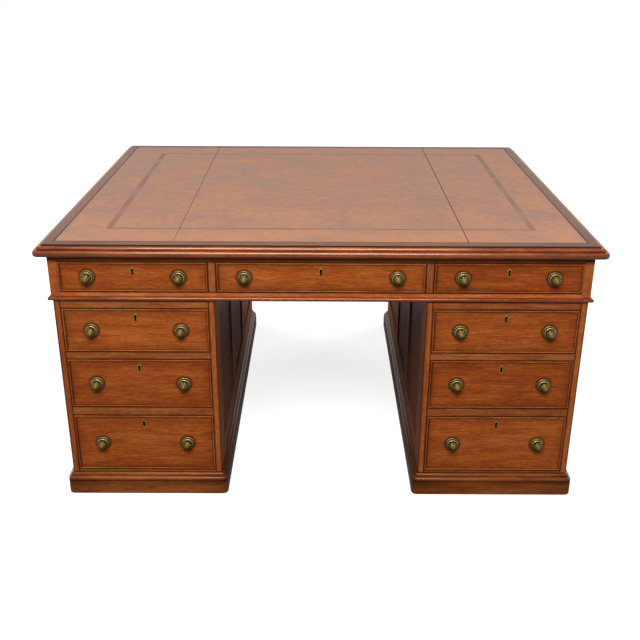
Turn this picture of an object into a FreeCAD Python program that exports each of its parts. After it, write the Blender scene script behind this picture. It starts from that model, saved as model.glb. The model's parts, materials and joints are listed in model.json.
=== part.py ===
import FreeCAD, Part
import math
import os

# Victorian mahogany partners desk: a leather-lined top on a frieze of drawers, carried by two
# pedestals. Millimetres. X runs left to right as the front is faced, Y from front to back and
# Z up. The origin is on the floor at the centre of the plan.

# ---- overall ----
top_width = 1532.0           # over the moulded edge
top_depth = 1290.0           # over the moulded edge
overhang_side = 35.0         # moulded edge beyond the frieze ends
overhang_front = 20.0        # moulded edge beyond the frieze front and back
kneehole_width = 576.0       # between the pedestals
pedestal_set_in = 4.0        # frieze end beyond the pedestal side

# ---- top ----
top_thickness = 31.0
edge_projection = 16.0       # from the flat of the border to the nose
border_width = 34.0          # flat of the border round the leather
leather_thickness = 1.5
leather_seam_offset = 396.0  # each seam from the centre line
leather_seam_gap = 0.4
top_tongue = 8.0             # tongue of the top board in the border
top_tongue_thickness = 9.0
edge_quirk = 3.5             # flat of the border down to the head of the ovolo
edge_ovolo_height = 5.0
edge_ovolo_inset = 1.0       # head of the ovolo, out from the flat
edge_fillet = 2.75           # tread between the ovolo and the nose
edge_nose_radius = 8.75

# ---- frieze, from the underside of the top down ----
frieze_top_rail = 17.5
frieze_drawer_opening = 84.0
frieze_bottom_rail = 25.5
frieze_end_thickness = 25.0
frieze_divider_thickness = 23.0
frieze_divider_overhang = 6.5  # divider over the kneehole, beyond the pedestal
frieze_spine_thickness = 20.0
frieze_runner_thickness = 18.0
bead_height = 12.0
bead_projection = 8.0

# ---- pedestals, from the frieze down ----
pedestal_top_rail = 25.0
upper_drawer_opening = 128.0
upper_rail = 25.0
middle_drawer_opening = 149.0
lower_rail = 29.0
lower_drawer_opening = 178.0
base_rail_reveal = 11.0      # plinth top to the lowest drawer opening
base_board_thickness = 20.0
carcass_foot_gap = 8.0       # the plinth stands on the floor, the carcass does not
side_thickness = 19.0
side_stile = 93.0
side_muntin = 65.0
side_rail_top = 72.0
side_rail_reveal = 76.0      # plinth top to the foot of the side panels
side_panel_count = 3
panel_thickness = 8.0
panel_groove = 8.0
panel_play = 0.5             # room for the panel to move at the bottom of its groove
glue_line = 0.05             # between the shoulders of the framing's members
rail_depth = 60.0            # drawer rails, front to back
runner_width = 30.0
partition_thickness = 12.0
shelf_thickness = 18.0
shelf_rise = 263.0           # cupboard floor to the top of its shelf
shelf_bearer = 20.0
shelf_set_back = 12.0        # cupboard shelf to the inside of the door

# ---- plinth ----
plinth_height = 66.0
plinth_fascia = 43.0
plinth_projection = 16.0
plinth_foot_ease = 3.0
plinth_quirk_height = 1.0
plinth_quirk_depth = 2.5
plinth_round_height = 9.0    # small upper round
plinth_round_step = 2.0      # upper round back from the torus
plinth_torus_fall = 7.5      # fascia back to the head of the torus
plinth_torus_ease = 0.5      # fascia back to the belly of the torus
plinth_shelf = 2.5           # top of the plinth, out from the pedestal

# ---- drawers ----
drawer_back_room = 15.0      # drawer back to the board behind it
drawer_front_thickness = 22.0
drawer_side_thickness = 10.0
drawer_back_thickness = 10.0
drawer_bottom_thickness = 7.0
drawer_bottom_groove = 5.0
drawer_bottom_raise = 8.0    # lower edge of the side to the underside of the bottom
drawer_lap = 7.0             # wood left in front of the lapped dovetails
drawer_back_drop = 8.0       # back below the top edge of the sides
drawer_side_drop = 4.0       # sides below the top edge of the front
front_gap = 1.2              # cock bead to the opening
running_gap = 0.3            # drawer side on its runner, and front on its stop
dovetail_pitch = 45.0
dovetail_pin = 10.0          # between two tails, at their roots
dovetail_slope = 2.5         # tail wider than its root, each side
cock_bead_thickness = 3.2
cock_bead_proud = 2.5
stop_height = 6.0
stop_length = 22.0
stop_width = 40.0

# ---- brass ----
knob_rose_radius = 21.5
knob_rose_rim = 1.5          # upright edge of the rose
knob_step_radius = 17.5      # foot of the raised step on the rose
knob_step_start = 4.5
knob_rose_thickness = 8.5    # out to the flat of the step
knob_rose_flat = 13.0
knob_neck_radius = 7.0
knob_neck_length = 4.0
knob_head_radius = 12.5
knob_head_flare = 5.0        # neck to the widest part, along the axis
knob_crown_radius = 9.5
knob_crown_height = 3.5
knob_tip_radius = 4.0
knob_rose_facets = 12
knob_head_facets = 8
knob_length = 28.0           # out from the drawer front
knob_offset = 123.0          # from the middle of a side drawer
centre_knob_offset = 206.0
escutcheon_width = 14.0
escutcheon_height = 25.0
escutcheon_thickness = 1.2
escutcheon_ease = 4.0        # each cut of its rounded ends, out to the straight side
keyhole_radius = 3.2
keyhole_facets = 8
keyhole_slot = 4.0
keyhole_drop = 8.0           # eye of the keyhole to the foot of its slot
keyhole_depth = 26.5         # centre of the escutcheon below the drawer opening's top
lock_width = 58.0
lock_height = 42.0
lock_thickness = 9.0

# ---- cupboard doors ----
door_thickness = 22.0
door_gap = 1.5
door_stile = 55.0
door_rail_top = 60.0
door_rail_bottom = 75.0
door_knob_rise = 318.0       # cupboard floor to the knob
door_keyhole_rise = 55.0     # keyhole above the knob
door_lock_margin = 12.0      # lock to the inner edge of the stile
hinge_height = 50.0
hinge_inset = 85.0           # end of the door to the hinge's middle
hinge_leaf_width = 22.0
hinge_leaf_thickness = 1.5
hinge_knuckle_radius = 4.0
hinge_knuckle_clear = 0.2
hinge_pin_radius = 1.8
hinge_pin_clearance = 0.05
hinge_knuckle_gap = 0.3

cut_over = 1.0               # how far a cutting solid runs past the face it opens

# ---- worked out from the sizes above ----
frieze_half = top_width / 2 - overhang_side
carcass_half_depth = top_depth / 2 - overhang_front
pedestal_outer = frieze_half - pedestal_set_in
pedestal_inner = kneehole_width / 2
pedestal_width = pedestal_outer - pedestal_inner
pedestal_centre = (pedestal_outer + pedestal_inner) / 2
pedestal_opening = pedestal_width - 2 * side_thickness

base_height = plinth_height + base_rail_reveal
shelf_height = base_height + shelf_rise
door_knob_height = base_height + door_knob_rise
lower_opening_bottom = base_height
lower_opening_top = lower_opening_bottom + lower_drawer_opening
middle_opening_bottom = lower_opening_top + lower_rail
middle_opening_top = middle_opening_bottom + middle_drawer_opening
upper_opening_bottom = middle_opening_top + upper_rail
upper_opening_top = upper_opening_bottom + upper_drawer_opening
pedestal_top = upper_opening_top + pedestal_top_rail
frieze_opening_bottom = pedestal_top + frieze_bottom_rail
frieze_opening_top = frieze_opening_bottom + frieze_drawer_opening
frieze_top = frieze_opening_top + frieze_top_rail
top_height = frieze_top + top_thickness

frieze_centre_opening = kneehole_width - 2 * frieze_divider_overhang
divider_inner = frieze_centre_opening / 2
divider_outer = divider_inner + frieze_divider_thickness
frieze_end_inner = frieze_half - frieze_end_thickness
frieze_side_opening = frieze_end_inner - divider_outer
frieze_side_centre = (frieze_end_inner + divider_outer) / 2

flat_half_width = top_width / 2 - edge_projection
flat_half_depth = top_depth / 2 - edge_projection
leather_half_width = flat_half_width - border_width
leather_half_depth = flat_half_depth - border_width
rail_back = carcass_half_depth - rail_depth
frieze_drawer_length = carcass_half_depth - frieze_spine_thickness / 2 - drawer_back_room
pedestal_drawer_length = carcass_half_depth - partition_thickness / 2 - drawer_back_room


# ---- general helpers ----

def vec(x, y, z):
    return FreeCAD.Vector(x, y, z)


def box(x, y, z):
    """A box from three (low, high) pairs."""
    corner = vec(x[0], y[0], z[0])
    return Part.makeBox(x[1] - x[0], y[1] - y[0], z[1] - z[0], corner)


def moved(shape, x=0.0, y=0.0, z=0.0):
    copy = shape.copy()
    copy.translate(vec(x, y, z))
    return copy


def turned(shape, degrees):
    """The shape turned about the vertical axis through the origin."""
    copy = shape.copy()
    copy.rotate(vec(0, 0, 0), vec(0, 0, 1), degrees)
    return copy


def mirrored(shape):
    """The shape mirrored from the right side of the desk to the left."""
    return shape.mirror(vec(0, 0, 0), vec(1, 0, 0))


def outline(steps, place):
    """A face from steps of points: a lone point ends a line, a pair (middle, end) an arc.

    The first step is the start. A line closes the outline where its last step doesn't."""
    start = steps[0]
    edges = []
    here = start
    for step in steps[1:]:
        if isinstance(step[0], tuple):
            middle, end = step
            edges.append(Part.Arc(place(here), place(middle), place(end)).toShape())
        else:
            end = step
            edges.append(Part.LineSegment(place(here), place(end)).toShape())
        here = end
    if here != start:
        edges.append(Part.LineSegment(place(here), place(start)).toShape())
    return Part.Face(Part.Wire(edges))


def export(name, solids):
    Part.makeCompound(solids).exportStep("parts/" + name + ".step")


# ---- mouldings that run round a rectangle ----

def mitred_ring(profile, half_x, half_y, inner, outer):
    """Four lengths with mitred ends. The profile gives (out, up) from the rectangle's side."""
    lengths = []
    sides = ((half_x, half_y, 0), (half_y, half_x, 90), (half_x, half_y, 180), (half_y, half_x, 270))
    for along, away, angle in sides:
        reach = along + outer
        face = outline(profile, lambda p: vec(-reach, -away - p[0], p[1]))
        length = face.extrude(vec(2 * reach, 0, 0))
        bottom = length.BoundBox.ZMin - cut_over
        top = length.BoundBox.ZMax + cut_over
        corners = [
            vec(-along - outer, -away - outer, bottom),
            vec(along + outer, -away - outer, bottom),
            vec(along - inner, -away + inner, bottom),
            vec(-along + inner, -away + inner, bottom),
        ]
        plan = Part.Face(Part.makePolygon(corners + corners[:1]))
        mitre = plan.extrude(vec(0, 0, top - bottom))
        lengths.append(turned(length.common(mitre), angle))
    return lengths


def rounded_ring(profile, half_x, half_y):
    """Four lengths meeting in the middle of corners that are turned round the rectangle's own."""
    lengths = []
    sides = ((half_x, half_y, 0), (half_y, half_x, 90), (half_x, half_y, 180), (half_y, half_x, 270))
    for along, away, angle in sides:
        left = outline(profile, lambda p: vec(-along, -away - p[0], p[1]))
        right = outline(profile, lambda p: vec(along, -away - p[0], p[1]))
        straight = left.extrude(vec(2 * along, 0, 0))
        left_turn = left.revolve(vec(-along, -away, 0), vec(0, 0, 1), -45)
        right_turn = right.revolve(vec(along, -away, 0), vec(0, 0, 1), 45)
        length = straight.multiFuse([left_turn, right_turn]).removeSplitter()
        lengths.append(turned(length, angle))
    return lengths


# ---- top ----

def edge_profile():
    """The border's edge in section, out from its flat: quirk, ovolo, fillet, half-round nose."""
    nose = edge_nose_radius
    nose_centre = frieze_top + nose
    nose_start = edge_projection - nose
    foot = nose_start - edge_fillet
    head = top_height - edge_quirk
    quarter = math.sqrt(0.5)
    belly = (
        edge_ovolo_inset + (foot - edge_ovolo_inset) * quarter,
        head - edge_ovolo_height * (1 - quarter),
    )
    return [
        (0.0, frieze_top),
        (nose_start, frieze_top),
        ((edge_projection, nose_centre), (nose_start, nose_centre + nose)),
        (foot, nose_centre + nose),
        (foot, head - edge_ovolo_height),
        (belly, (edge_ovolo_inset, head)),
        (0.0, head),
    ]


def tongue(clearance):
    """The top board's tongue all round, or the groove for it."""
    middle = frieze_top + (top_thickness - leather_thickness) / 2
    half = top_tongue_thickness / 2 + clearance
    x = leather_half_width + top_tongue + clearance
    y = leather_half_depth + top_tongue + clearance
    return box((-x, x), (-y, y), (middle - half, middle + half))


def top_border():
    """Four mitred lengths, with the edge moulding turned round the corners of their flat."""
    flat = [
        (-border_width, frieze_top),
        (0.0, frieze_top),
        (0.0, top_height),
        (-border_width, top_height),
    ]
    flats = mitred_ring(flat, flat_half_width, flat_half_depth, border_width, 0.0)
    edges = rounded_ring(edge_profile(), flat_half_width, flat_half_depth)
    lengths = [inner.fuse(outer).removeSplitter() for inner, outer in zip(flats, edges)]
    return [length.cut(tongue(0.0)) for length in lengths]


def top_board():
    board = box(
        (-leather_half_width, leather_half_width),
        (-leather_half_depth, leather_half_depth),
        (frieze_top, top_height - leather_thickness),
    )
    return [board.fuse(tongue(0.0)).removeSplitter()]


def top_leather():
    half_gap = leather_seam_gap / 2
    edges = [
        (-leather_half_width, -leather_seam_offset - half_gap),
        (-leather_seam_offset + half_gap, leather_seam_offset - half_gap),
        (leather_seam_offset + half_gap, leather_half_width),
    ]
    depth = (-leather_half_depth, leather_half_depth)
    height = (top_height - leather_thickness, top_height)
    return [box(edge, depth, height) for edge in edges]


# ---- frieze ----

def frieze_end_boards():
    depth = (-carcass_half_depth, carcass_half_depth)
    right = box((frieze_end_inner, frieze_half), depth, (pedestal_top, frieze_top))
    return [right, mirrored(right)]


def drawer_stops(middle, bottom):
    """Two blocks on a front rail that the drawer front closes against."""
    back_of_front = -carcass_half_depth + drawer_front_thickness
    depth = (back_of_front + running_gap, back_of_front + running_gap + stop_length)
    blocks = []
    for side in (-1, 1):
        centre = middle + side * pedestal_opening / 4
        edges = (centre - stop_width / 2, centre + stop_width / 2)
        blocks.append(box(edges, depth, (bottom, bottom + stop_height)))
    return blocks


def frieze_rails_and_runners():
    across = (-frieze_end_inner, frieze_end_inner)
    front = (-carcass_half_depth, -rail_back)
    runner_depth = (-rail_back, -frieze_spine_thickness / 2)
    under = (frieze_opening_bottom - frieze_runner_thickness, frieze_opening_bottom)
    above = (frieze_opening_top, frieze_top)
    solids = [box(across, front, (pedestal_top, frieze_opening_bottom))]
    solids.append(box(across, front, above))
    walls = (
        (frieze_end_inner - runner_width, frieze_end_inner),
        (divider_outer, divider_outer + runner_width),
        (divider_inner - runner_width, divider_inner),
    )
    for low, high in walls:
        for edges in ((low, high), (-high, -low)):
            solids.append(box(edges, runner_depth, under))
            solids.append(box(edges, runner_depth, above))
    for middle in (-frieze_side_centre, 0.0, frieze_side_centre):
        solids.extend(drawer_stops(middle, frieze_opening_bottom))
    return solids + [turned(solid, 180) for solid in solids]


def frieze_partitions():
    """The uprights between the drawers, the boards behind them and the cross board between."""
    divider = (divider_inner, divider_outer)
    front = (-carcass_half_depth, -rail_back)
    behind = (-rail_back, -frieze_spine_thickness / 2)
    upright = box(divider, front, (frieze_opening_bottom, frieze_opening_top))
    board = box(divider, behind, (pedestal_top, frieze_top))
    quarter = [upright, board]
    half = quarter + [mirrored(solid) for solid in quarter]
    spine = box(
        (-frieze_end_inner, frieze_end_inner),
        (-frieze_spine_thickness / 2, frieze_spine_thickness / 2),
        (pedestal_top, frieze_top),
    )
    return half + [turned(solid, 180) for solid in half] + [spine]


def frieze_bead_moulding():
    """A half-round bead on a narrow flat, along the foot of the frieze."""
    radius = bead_height / 2
    flat = bead_projection - radius
    low = pedestal_top
    profile = [
        (0.0, low),
        (flat, low),
        ((bead_projection, low + radius), (flat, low + bead_height)),
        (0.0, low + bead_height),
    ]
    return mitred_ring(profile, frieze_half, carcass_half_depth, 0.0, bead_projection)


# ---- framing and panels, for the pedestal sides and the cupboard doors ----

def framed_panels(width, height, thickness, stile, rail_low, rail_high, muntin, count):
    """Frame and panels in the (width, height) plane, from the corner, thickness along +Y.

    The stiles run full height, the rails fit between them and the muntins between the rails,
    a glue line apart.
    Each panel is held in a groove all round, with play at the bottom of the groove."""
    panel_width = (width - 2 * stile - (count - 1) * muntin) / count
    low = rail_low
    high = height - rail_high
    depth = (0.0, thickness)
    between = (stile + glue_line, width - stile - glue_line)
    frame = [
        box((0.0, stile), depth, (0.0, height)),
        box((width - stile, width), depth, (0.0, height)),
        box(between, depth, (0.0, low)),
        box(between, depth, (high, height)),
    ]
    middle = thickness / 2
    slab = (middle - panel_thickness / 2, middle + panel_thickness / 2)
    panels = []
    grooves = []
    for index in range(count):
        left = stile + index * (panel_width + muntin)
        right = left + panel_width
        if index:
            frame.append(box((left - muntin, left), depth, (low + glue_line, high - glue_line)))
        reach = panel_groove - panel_play
        panels.append(box((left - reach, right + reach), slab, (low - reach, high + reach)))
        grooves.append(
            box(
                (left - panel_groove, right + panel_groove),
                slab,
                (low - panel_groove, high + panel_groove),
            )
        )
    cutter = Part.makeCompound(grooves)
    return [member.cut(cutter) for member in frame], panels


# ---- pedestals, modelled on the right and mirrored to the left ----

def side_pair():
    """Both framed sides of the right pedestal: outer side, then kneehole side."""
    width = 2 * carcass_half_depth
    height = pedestal_top - carcass_foot_gap
    frame, panels = framed_panels(
        width, height, side_thickness, side_stile,
        plinth_height + side_rail_reveal - carcass_foot_gap, side_rail_top, side_muntin,
        side_panel_count,
    )
    frames = []
    fillings = []
    for x in (pedestal_outer, pedestal_inner + side_thickness):
        for source, target in ((frame, frames), (panels, fillings)):
            for solid in source:
                upright = turned(solid, 90)
                target.append(moved(upright, x, -carcass_half_depth, carcass_foot_gap))
    return frames, fillings


def hinge_mortise():
    """The shallow sinkings for the hinge leaves, in the closed position."""
    cutters = []
    for z in hinge_heights():
        x = hinge_axis_x()
        half = door_gap / 2 + hinge_leaf_thickness
        cutters.append(
            box(
                (x - half, x + half),
                (carcass_half_depth - hinge_leaf_width, carcass_half_depth + cut_over),
                (z - hinge_height / 2, z + hinge_height / 2),
            )
        )
    return Part.makeCompound(cutters)


def pedestal_boards():
    """Bottom, top, partition between drawers and cupboard, and the cupboard shelf."""
    inside = (pedestal_inner + side_thickness, pedestal_outer - side_thickness)
    between = (-rail_back, rail_back)
    half = partition_thickness / 2
    floor = (base_height - base_board_thickness, base_height)
    shelf_back = carcass_half_depth - door_thickness - shelf_set_back
    return [
        box(inside, between, floor),
        box(inside, between, (upper_opening_top, pedestal_top)),
        box(inside, (-half, half), (base_height, upper_opening_top)),
        box(inside, (half, shelf_back), (shelf_height - shelf_thickness, shelf_height)),
    ]


def pedestal_rails_and_runners():
    inner = pedestal_inner + side_thickness
    outer = pedestal_outer - side_thickness
    front = (-carcass_half_depth, -rail_back)
    back = (rail_back, carcass_half_depth)
    floor = (base_height - base_board_thickness, base_height)
    top = (upper_opening_top, pedestal_top)
    solids = [box((inner, outer), front, floor), box((inner, outer), front, top)]
    solids.append(box((inner, outer), back, floor))
    solids.append(box((inner, outer), back, top))
    runner_depth = (-rail_back, -partition_thickness / 2)
    blades = (
        (lower_opening_top, middle_opening_bottom),
        (middle_opening_top, upper_opening_bottom),
    )
    walls = ((inner, inner + runner_width), (outer - runner_width, outer))
    for blade in blades:
        solids.append(box((inner, outer), front, blade))
        for wall in walls:
            solids.append(box(wall, runner_depth, blade))
    for bottom in (lower_opening_bottom, middle_opening_bottom, upper_opening_bottom):
        solids.extend(drawer_stops(pedestal_centre, bottom))
    bearer_depth = (partition_thickness / 2, rail_back)
    bearer_top = shelf_height - shelf_thickness
    for x in ((inner, inner + shelf_bearer), (outer - shelf_bearer, outer)):
        solids.append(box(x, bearer_depth, (bearer_top - shelf_bearer, bearer_top)))
    return solids


def plinth():
    """Moulded base: fascia with an eased foot, quirk, torus, quirk and a small upper round."""
    out = plinth_projection
    ease = plinth_foot_ease
    quirk_low = plinth_fascia - plinth_quirk_height / 2
    quirk_high = plinth_fascia + plinth_quirk_height / 2
    torus_top = plinth_height - plinth_round_height
    shoulder = out - plinth_torus_fall
    belly = (out - plinth_torus_ease, (quirk_high + torus_top) / 2)
    upper = shoulder - plinth_round_step
    profile = [
        (0.0, 0.0),
        (out - ease, 0.0),
        (out, ease),
        (out, quirk_low),
        (out - plinth_quirk_depth, quirk_low),
        (out - plinth_quirk_depth, quirk_high),
        (belly, (shoulder, torus_top)),
        (upper, torus_top),
        (upper, plinth_height - plinth_round_height / 2),
        (plinth_shelf, plinth_height),
        (0.0, plinth_height),
    ]
    ring = rounded_ring(profile, pedestal_width / 2, carcass_half_depth)
    return [moved(length, pedestal_centre) for length in ring]


# ---- brass, modelled at the origin with the drawer face at Y = 0 and outwards -Y ----

def facet_ring(radius, out, sides):
    """A regular outline round the knob's axis, at a distance out from the drawer face."""
    points = []
    for index in range(sides):
        turn = 2 * math.pi * (index + 0.5) / sides
        points.append(vec(radius * math.cos(turn), -out, radius * math.sin(turn)))
    return Part.makePolygon(points + points[:1])


def faceted_turning(rings, sides):
    """A solid of flat facets through rings of (radius, out), with flat ends."""
    outlines = [facet_ring(radius, out, sides) for radius, out in rings]
    faces = [Part.Face(outlines[0]), Part.Face(outlines[-1])]
    for near, far in zip(outlines, outlines[1:]):
        low = [corner.Point for corner in near.OrderedVertexes]
        high = [corner.Point for corner in far.OrderedVertexes]
        for side in range(sides):
            after = (side + 1) % sides
            corners = [low[side], low[after], high[after], high[side]]
            faces.append(Part.Face(Part.makePolygon(corners + corners[:1])))
    shell = Part.makeShell(faces)
    shell.sewShape()
    solid = Part.makeSolid(shell)
    if solid.Volume < 0:
        solid.reverse()
    return solid


def knob():
    """Cast knob: a many-sided rose with a raised step, and a faceted neck and domed head."""
    rose = knob_rose_thickness
    neck_end = rose + knob_neck_length
    widest = neck_end + knob_head_flare
    crown = knob_length - knob_crown_height
    rose_rings = (
        (knob_rose_radius, 0.0),
        (knob_rose_radius, knob_rose_rim),
        (knob_step_radius, knob_step_start),
        (knob_rose_flat, rose),
    )
    head_rings = (
        (knob_neck_radius, rose),
        (knob_neck_radius, neck_end),
        (knob_head_radius, widest),
        (knob_crown_radius, crown),
        (knob_tip_radius, knob_length),
    )
    rose_part = faceted_turning(rose_rings, knob_rose_facets)
    head_part = faceted_turning(head_rings, knob_head_facets)
    return rose_part.fuse(head_part)


def keyhole(depth):
    """A keyhole from in front of its escutcheon in to the depth, centred on the origin."""
    start = -escutcheon_thickness - cut_over
    eye_height = (escutcheon_height - escutcheon_width) / 2
    rim = facet_ring(keyhole_radius, -start, keyhole_facets)
    eye = Part.Face(rim).extrude(vec(0, depth - start, 0))
    half = keyhole_slot / 2
    slot = box((-half, half), (start, depth), (eye_height - keyhole_drop - keyhole_radius, eye_height))
    return moved(eye, 0.0, 0.0, eye_height).fuse(slot).removeSplitter()


def escutcheon():
    """A thin brass plate with eased ends, pierced with the keyhole."""
    half = escutcheon_width / 2
    top = escutcheon_height / 2
    near = half - escutcheon_ease
    low = top - escutcheon_ease
    quadrant = [(half, low - escutcheon_ease), (half - escutcheon_ease / 2, low), (near, top)]
    right = quadrant[::-1] + [(x, -z) for x, z in quadrant]
    corners = right + [(-x, z) for x, z in reversed(right)]
    points = [vec(x, 0.0, z) for x, z in corners]
    plate = Part.Face(Part.makePolygon(points + points[:1])).extrude(vec(0, -escutcheon_thickness, 0))
    return plate.cut(keyhole(cut_over))


# ---- drawers, modelled at the origin: opening centred on X = 0 and bottom at Z = 0 ----

def tails(length_out, low, high, thickness):
    """Dovetails along an edge: solids that stand out of a side by length_out.

    They lie along +Y from Y = 0, across the thickness from X = 0, between low and high."""
    count = max(2, round((high - low) / dovetail_pitch))
    pitch = (high - low) / count
    solids = []
    for index in range(count):
        middle = low + (index + 0.5) * pitch
        root = (pitch - dovetail_pin) / 2
        tip = root + dovetail_slope
        corners = [
            vec(0, 0, middle - root),
            vec(0, length_out, middle - tip),
            vec(0, length_out, middle + tip),
            vec(0, 0, middle + root),
        ]
        face = Part.Face(Part.makePolygon(corners + corners[:1]))
        solids.append(face.extrude(vec(thickness, 0, 0)))
    return solids


def drawer_case(opening_width, opening_height, length):
    """The dovetailed case: front board, the two sides, back and bottom as separate solids."""
    half = opening_width / 2 - front_gap
    bottom_edge = front_gap
    top_edge = opening_height - front_gap
    side_low = running_gap
    side_high = top_edge - drawer_side_drop
    inner = half - drawer_side_thickness
    front_back = drawer_front_thickness
    back_front = length - drawer_back_thickness
    tail_length = drawer_front_thickness - drawer_lap

    floor_low = side_low + drawer_bottom_raise
    floor_high = floor_low + drawer_bottom_thickness
    floor = box(
        (-inner - drawer_bottom_groove, inner + drawer_bottom_groove),
        (front_back - drawer_bottom_groove, length),
        (floor_low, floor_high),
    )

    body = box((half - drawer_side_thickness, half), (front_back, back_front), (side_low, side_high))
    back_high = side_high - drawer_back_drop
    front_tails = tails(tail_length, floor_high, side_high, drawer_side_thickness)
    back_tails = tails(drawer_back_thickness, floor_high, back_high, drawer_side_thickness)
    pieces = []
    for tail in front_tails:
        flipped = tail.mirror(vec(0, 0, 0), vec(0, 1, 0))
        pieces.append(moved(flipped, inner, front_back, 0.0))
    for tail in back_tails:
        pieces.append(moved(tail, inner, back_front, 0.0))
    right = body.multiFuse(pieces).removeSplitter().cut(floor)
    left = mirrored(right)

    front = box((-half, half), (0.0, front_back), (bottom_edge, top_edge))
    front = front.cut(Part.makeCompound([right, left, floor]))
    back = box(
        (-half, half),
        (back_front, length),
        (floor_high, back_high),
    )
    back = back.cut(Part.makeCompound([right, left]))
    return front, [right, left, back, floor]


def cock_bead(opening_width, opening_height):
    """Four mitred strips let in round the front, standing proud with an eased nose."""
    half = opening_width / 2 - front_gap
    low = front_gap
    high = opening_height - front_gap
    inner = cock_bead_thickness
    ease = cock_bead_thickness / 4
    shoulder = cock_bead_proud - cock_bead_thickness / 3
    profile = [
        (0.0, -drawer_lap),
        (0.0, shoulder),
        (-ease, cock_bead_proud),
        (-inner + ease, cock_bead_proud),
        (-inner, shoulder),
        (-inner, -drawer_lap),
    ]
    centre = (low + high) / 2
    half_height = (high - low) / 2
    strips = mitred_ring(profile, half, half_height, inner, 0.0)
    stood = []
    for strip in strips:
        strip.rotate(vec(0, 0, 0), vec(1, 0, 0), 90)
        stood.append(moved(strip, 0.0, 0.0, centre))
    return stood


def drawer(opening_width, opening_height, length, offset):
    """All the solids of one drawer, as front, case and brass lists."""
    front, case = drawer_case(opening_width, opening_height, length)
    bead = cock_bead(opening_width, opening_height)
    knob_height = opening_height / 2
    key_height = opening_height - keyhole_depth
    lock_face = drawer_front_thickness - lock_thickness
    lock_top = opening_height - front_gap
    lock = box(
        (-lock_width / 2, lock_width / 2),
        (lock_face, drawer_front_thickness),
        (lock_top - lock_height, lock_top),
    )
    knobs = [moved(knob(), side * offset, 0.0, knob_height) for side in (-1, 1)]
    keyway = moved(keyhole(lock_face), 0.0, 0.0, key_height)
    front = front.cut(Part.makeCompound(bead))
    front = front.cut(keyway)
    front = front.cut(lock)
    plate = moved(escutcheon(), 0.0, 0.0, key_height)
    return [front] + bead, case, knobs + [plate, lock]


def export_drawer(name, kinds, x, z, angle):
    """Places one drawer in its opening and writes its three nodes."""
    for kind, solids in zip(("front", "case", "brass"), kinds):
        placed = [
            turned(moved(solid, x, -carcass_half_depth, z), angle) for solid in solids
        ]
        export(name + "_" + kind, placed)


# ---- cupboard door of the right pedestal, in the back ----

def hinge_axis_x():
    return pedestal_outer - side_thickness - door_gap / 2


def hinge_axis_y():
    return carcass_half_depth + hinge_knuckle_radius + hinge_knuckle_clear


def hinge_heights():
    return (base_height + hinge_inset, upper_opening_top - hinge_inset)


def hinge_leaves():
    """Fixed leaves with two knuckles and the pin, and moving leaves with the middle knuckle."""
    x = hinge_axis_x()
    y = hinge_axis_y()
    third = hinge_height / 3
    fixed = []
    moving = []
    for z in hinge_heights():
        low = z - hinge_height / 2
        high = z + hinge_height / 2
        inner_low = low + third
        inner_high = high - third
        sheet = (carcass_half_depth - hinge_leaf_width, carcass_half_depth)
        tab = (carcass_half_depth, y)
        outer_x = (x + door_gap / 2, x + door_gap / 2 + hinge_leaf_thickness)
        inner_x = (x - door_gap / 2 - hinge_leaf_thickness, x - door_gap / 2)
        fixed_parts = [box(outer_x, sheet, (low, high))]
        gap = hinge_knuckle_gap
        for start, end in ((low, inner_low - gap), (inner_high + gap, high)):
            barrel = Part.makeCylinder(hinge_knuckle_radius, end - start, vec(x, y, start))
            fixed_parts.append(box(outer_x, tab, (start, end)))
            fixed_parts.append(barrel)
        fixed_parts.append(Part.makeCylinder(hinge_pin_radius, high - low, vec(x, y, low)))
        fixed.append(fixed_parts[0].multiFuse(fixed_parts[1:]).removeSplitter())
        bore = Part.makeCylinder(
            hinge_pin_radius + hinge_pin_clearance, hinge_height, vec(x, y, low)
        )
        barrel = Part.makeCylinder(
            hinge_knuckle_radius, inner_high - inner_low, vec(x, y, inner_low)
        )
        plate = box(inner_x, sheet, (low, high))
        ear = box(inner_x, tab, (inner_low, inner_high))
        moving.append(plate.multiFuse([ear, barrel]).removeSplitter().cut(bore))
    return fixed, moving


def cupboard_door():
    """Frame, panel and brass of the door, closed."""
    width = pedestal_opening - 2 * door_gap
    height = upper_opening_top - base_height - 2 * door_gap
    frame, panels = framed_panels(
        width, height, door_thickness, door_stile, door_rail_bottom, door_rail_top, 0.0, 1
    )
    left = pedestal_inner + side_thickness + door_gap
    front = carcass_half_depth - door_thickness
    bottom = base_height + door_gap
    frame = [moved(solid, left, front, bottom) for solid in frame]
    panels = [moved(solid, left, front, bottom) for solid in panels]

    centre = left + door_stile / 2
    knob_place = vec(centre, carcass_half_depth, door_knob_height)
    key_place = vec(centre, carcass_half_depth, door_knob_height + door_keyhole_rise)

    def on_door(shape, place):
        return moved(turned(shape, 180), place.x, place.y, place.z)

    lock_face = door_thickness - lock_thickness
    eye = escutcheon_height / 2 - escutcheon_width / 2
    lock = box(
        (-door_stile / 2, door_stile / 2 - door_lock_margin),
        (lock_face, door_thickness),
        (eye - lock_height / 2, eye + lock_height / 2),
    )
    turned_lock = lock.mirror(vec(0, 0, 0), vec(1, 0, 0))
    lock_placed = on_door(turned_lock, key_place)
    cuts = [
        on_door(keyhole(lock_face), key_place),
        lock_placed,
        hinge_mortise(),
    ]
    cutter = Part.makeCompound(cuts)
    frame = [solid.cut(cutter) for solid in frame]
    moving = hinge_leaves()[1]
    brass = [on_door(knob(), knob_place), on_door(escutcheon(), key_place), lock_placed]
    return frame, panels, brass + moving


# ---- the whole desk ----

def both_sides(name, solids):
    """Writes a right-hand node and its mirror image on the left."""
    export("right_" + name, solids)
    export("left_" + name, [mirrored(solid) for solid in solids])


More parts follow.
